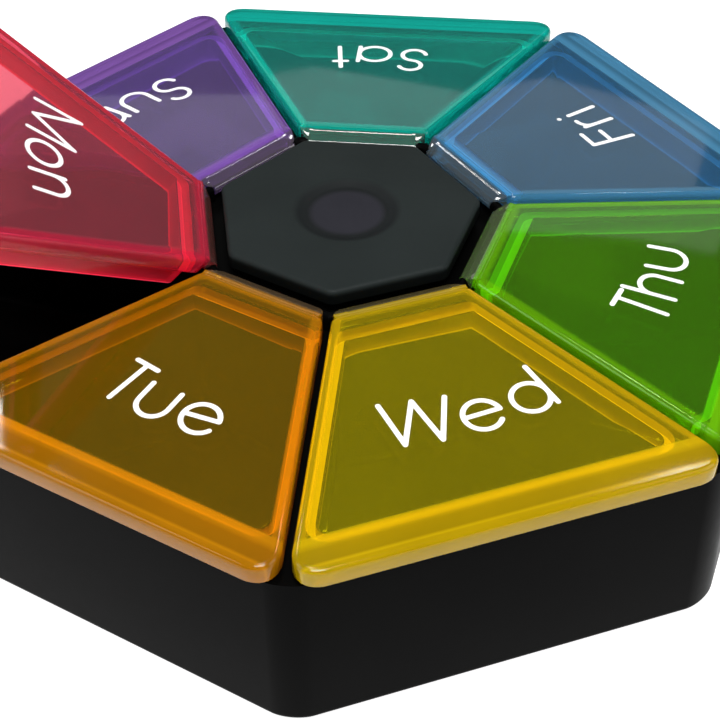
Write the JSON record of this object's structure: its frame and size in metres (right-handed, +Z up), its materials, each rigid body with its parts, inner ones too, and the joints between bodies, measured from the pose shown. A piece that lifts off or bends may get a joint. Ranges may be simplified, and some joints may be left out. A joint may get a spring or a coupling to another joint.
{
  "type": "pill organizer",
  "caption": "Seven-sided travel pill organizer: black tray with a pocket per weekday round a hub, each under a tinted see-through lid hinged at the hub.",
  "frame": {"origin": "centre of the tray's underside", "axes": "+Z up through the hub cap; the lid hinged towards +Y is the Saturday lid, and the Tuesday and Wednesday lids meet at -Y"},
  "size_m": [0.1196, 0.1177, 0.05],
  "materials": {
    "tray_black": "satin",
    "hub_cap_grey": "satin",
    "lid_tint_wed": "clear yellow tinted polished plastic",
    "lid_tint_thu": "clear green tinted polished plastic",
    "lid_tint_fri": "clear blue tinted polished plastic",
    "lid_tint_sat": "clear teal tinted polished plastic",
    "lid_tint_sun": "clear purple tinted polished plastic",
    "lid_tint_mon": "clear red tinted polished plastic",
    "lid_tint_tue": "clear orange tinted polished plastic"
  },
  "bodies": {
    "tray": {"base_tray": "tray_black", "hub_cap": "hub_cap_grey"},
    "lid_wed": {"lid_wed": "lid_tint_wed"},
    "lid_thu": {"lid_thu": "lid_tint_thu"},
    "lid_fri": {"lid_fri": "lid_tint_fri"},
    "lid_sat": {"lid_sat": "lid_tint_sat"},
    "lid_sun": {"lid_sun": "lid_tint_sun"},
    "lid_mon": {"lid_mon": "lid_tint_mon"},
    "lid_tue": {"lid_tue": "lid_tint_tue"}
  },
  "joints": [
    {"name": "wed_hinge", "type": "hinge", "parent": "tray", "child": "lid_wed", "pos_m": [0.00785, -0.01631, 0.02698], "axis": [-0.901, -0.4339, 0], "range_deg": [0, 80]},
    {"name": "thu_hinge", "type": "hinge", "parent": "tray", "child": "lid_thu", "pos_m": [0.01765, -0.00403, 0.02698], "axis": [0.2225, 0.9749, 0], "range_deg": [-80, 0]},
    {"name": "fri_hinge", "type": "hinge", "parent": "tray", "child": "lid_fri", "pos_m": [0.01415, 0.01128, 0.02698], "axis": [0.6235, -0.7818, 0], "range_deg": [0, 80]},
    {"name": "sat_hinge", "type": "hinge", "parent": "tray", "child": "lid_sat", "pos_m": [0, 0.0181, 0.02698], "axis": [-1, 0, 0], "range_deg": [-80, 0]},
    {"name": "sun_hinge", "type": "hinge", "parent": "tray", "child": "lid_sun", "pos_m": [-0.01415, 0.01128, 0.02698], "axis": [0.6235, 0.7818, 0], "range_deg": [0, 24]},
    {"name": "mon_hinge", "type": "hinge", "parent": "tray", "child": "lid_mon", "pos_m": [-0.01765, -0.00403, 0.02698], "axis": [-0.2225, 0.9749, 0], "range_deg": [-39, 41]},
    {"name": "tue_hinge", "type": "hinge", "parent": "tray", "child": "lid_tue", "pos_m": [-0.00785, -0.01631, 0.02698], "axis": [-0.901, 0.4339, 0], "range_deg": [0, 24]}
  ]
}
